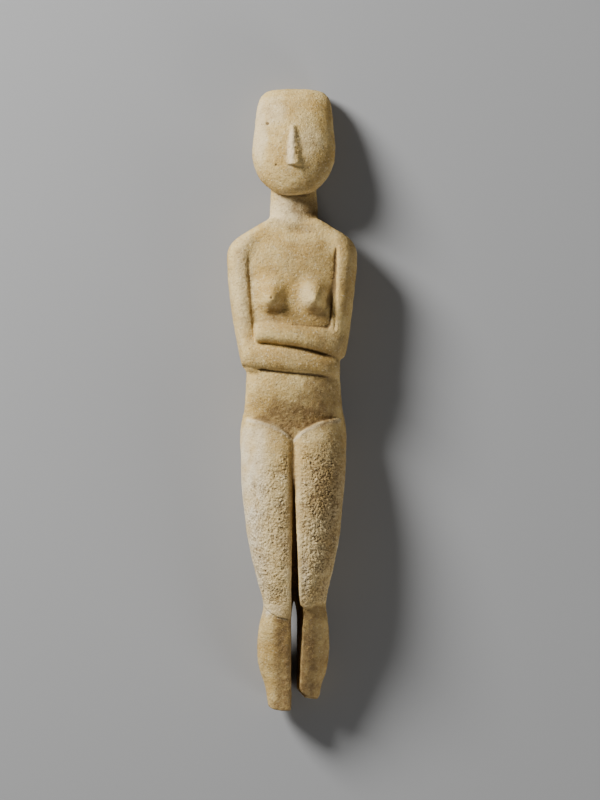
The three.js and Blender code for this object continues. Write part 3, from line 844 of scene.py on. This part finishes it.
def coloured(p, hollow, crease):
    """The masks that the stone's material reads, one number per vertex.

    Not every patch is patina. The brown ones under the chin and breasts, on the right arm, right
    forearm and right thigh, and in the cleft deepen the shade that falls there in this light, and the
    pale ones on the nose, the groin's ledge and the right thigh's inner edge brighten what it lights.
    """
    x, y, z = p[:, 0] - sway(p[:, 1])[0], p[:, 1], p[:, 2]
    drift = fractal(p, 10, 61)
    left_knee, right_knee = knee_joins(p)
    above_knee = np.where(x < 0, blend(left_knee, -0.6, 0.4), blend(right_knee, -3, 3))
    thigh = blend(y, GROIN + 13, GROIN + 5) * above_knee
    outer_left = blend(x + 3 * drift, -12, -24)
    lower_thigh = 0.3 + 0.7 * blend(y - 0.6 * np.abs(x), GROIN - 14, GROIN - 40)
    # A painted highlight along the crest of the groin's ledge.
    ledge = 0.6 * np.exp(-(((y - groin_height(np.abs(x)) + 1.5) / 1.4) ** 2)) * (z > 25)
    pale = thigh * (0.28 * lower_thigh + 0.6 * outer_left) * (0.75 + 0.5 * drift)
    pale = np.maximum(pale, ledge)
    mended = np.exp(-(((x + 17) / 2.4) ** 2 + ((y - KNEES + 5.2) / 2.2) ** 2))
    mended = mended + np.exp(-(((left_knee + 0.5) / 0.5) ** 2)) * blend(x, -12, -10) * blend(x, -4, -6)
    pale = np.maximum(pale, mended * (z > 22))
    # Of these pale patches, those on the nose's left flank and the right thigh's inner edge are painted
    # light.
    pale = np.maximum(
        pale,
        spread(x, y, drift, [
            [-13, CROWN - 16, 9, 11, 0.3],
            [-23, CROWN - 28, 6, 26, 0.4],
            [-4, NECK_FOOT + 9, 16, 11, 0.4],
            [10, CHEEKS + 4, 9, 9, 0.2],
            [-33, ARMPITS - 20, 8, 40, 0.2],
            [9, BREASTS + 2, 5, 9, 0.2],
            [-1.5, CHIN + 33, 2.8, 15, 0.5],
            [7.5, KNEES + 20, 2.6, 18, 0.5],
        ]),
    )
    calf = (1 - thigh) * blend(y, KNEES + 2, KNEES - 2)
    outer_calf = np.where(x < 0, 0.7 * blend(x, -9, -16), 0.35 * blend(x, 12, 17))
    # Brown: the calves' brown is patina; the patches under the chin and breasts and on the right arm,
    # forearm and thigh are painted shade.
    brown = np.maximum(calf * (0.95 - outer_calf + 0.25 * drift), spread(x, y, drift, [
        [5, GROIN + 15, 29, 12, 0.95],
        [18, GROIN + 24, 19, 17, 0.7],
        [25, GROIN - 34, 14, 50, 0.5],
        [7, CHIN - 7, 10, 9, 0.75],
        [7, ARMPITS - 4, 20, 13, 0.3],
        [14, CHIN + 16, 12, 12, 0.35],
        [2, BREASTS - 15, 27, 6, 0.35],
        [6, CHIN + 7, 12, 5, 0.4],
        [4, NECK_FOOT - 3, 11, 4, 0.5],
        [0, ELBOWS + 6, 30, 8, 0.3],
        [26, ELBOWS + 12, 17, 18, 0.5],
        [36, ARMPITS - 8, 7, 36, 0.35],
        [-9, BREASTS - 8, 8, 7, 0.65],
        [15, BREASTS - 9, 7, 6, 0.65],
    ]))
    # The cleft's brown is partly soil and partly painted shade.
    gap = -clefts(p[:, 0], p[:, 1], p[:, 2])
    depths = 0.8 * blend(gap, -2.6, 0.3) * blend(z, 45, 37)
    brown = np.maximum(brown * (z > 8), depths)
    # Dark in pits is soil; dark in narrow creases is painted shade, lighter on the groin, left arm, nose and
    # left of the chest.
    dirt_and_painted_shade = np.clip(np.maximum(hollow, 0.75 * crease * (1 - less_painted_shade(x, y))), 0, 1)
    return {"hollow": dirt_and_painted_shade, "pale": pale * (1 - 0.5 * hollow), "stain_and_painted_shade": brown}


# ---- The figurine -------------------------------------------------------------------------------
def make_figurine():
    values, axes = sampled_form()
    points, quads = surface_net(values, axes)
    normals = vertex_normals(points, quads)
    crease = creases(values, axes, points)
    depth, hollow = weathered(points, normals)
    points = points + normals * (depth * (1 - kept_flat(points)))[:, None]
    points[:, 2] = np.maximum(points[:, 2], 0)
    masks = coloured(points, hollow, crease)
    piece = mesh_object("figurine_stone", points, quads)
    for name, values in masks.items():
        layer = piece.data.attributes.new(name, "FLOAT", "POINT")
        layer.data.foreach_set("value", values.astype(np.float32))
    thinned(piece, TRIANGLES)
    piece.data.shade_smooth()
    piece.data.materials.append(stone())
    return piece


figurine = make_figurine()
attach(figurine, "root")
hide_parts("figurine")


# ---- Floor, light and camera --------------------------------------------------------------------
def make_floor():
    side = 3.0
    corners = np.array([[-1, -1, 0], [1, -1, 0], [1, 1, 0], [-1, 1, 0]]) * side / MM
    floor = mesh_object("floor", corners, np.array([[0, 1, 2, 3]]))
    floor.location.z = -0.4 * MM  # just under the resting flats
    floor.data.materials.append(plain("floor", (0.31, 0.31, 0.31, 1), 0.9))


def area_light(name, place, target, size, power):
    light = bpy.data.lights.new(name, "AREA")
    light.shape = "DISK"
    light.size = size
    light.energy = power
    made = bpy.data.objects.new(name, light)
    made.location = place
    made.rotation_euler = (Vector(target) - Vector(place)).to_track_quat("-Z", "Y").to_euler()
    bpy.context.scene.collection.objects.link(made)


def make_camera():
    """Straight above the figure, far off with a long lens; the frame's top is towards the crown."""
    distance = 4.0
    view_height = 1.282 * LENGTH * MM  # what the frame's height covers at the figure
    subject = 0.03
    lens = bpy.data.cameras.new("camera")
    lens.sensor_width = 36
    lens.lens = 36 * (distance - subject) / view_height
    camera = bpy.data.objects.new("camera", lens)
    camera.location = (4.9 * MM, -0.3 * MM, distance)  # over the middle of the frame's view
    bpy.context.scene.collection.objects.link(camera)
    bpy.context.scene.camera = camera


def make_world():
    world = bpy.data.worlds.new("studio")
    world.use_nodes = True
    world.node_tree.nodes["Background"].inputs["Color"].default_value = (1, 1, 1, 1)
    world.node_tree.nodes["Background"].inputs["Strength"].default_value = 0.08
    bpy.context.scene.world = world


make_floor()
area_light("key", place=(-1.3, 1.1, 0.86), target=(0, 0, 0), size=0.7, power=92)
area_light("rim", place=(1.1, -1.15, 0.42), target=(0, -0.1, 0), size=0.7, power=13)
make_camera()
make_world()
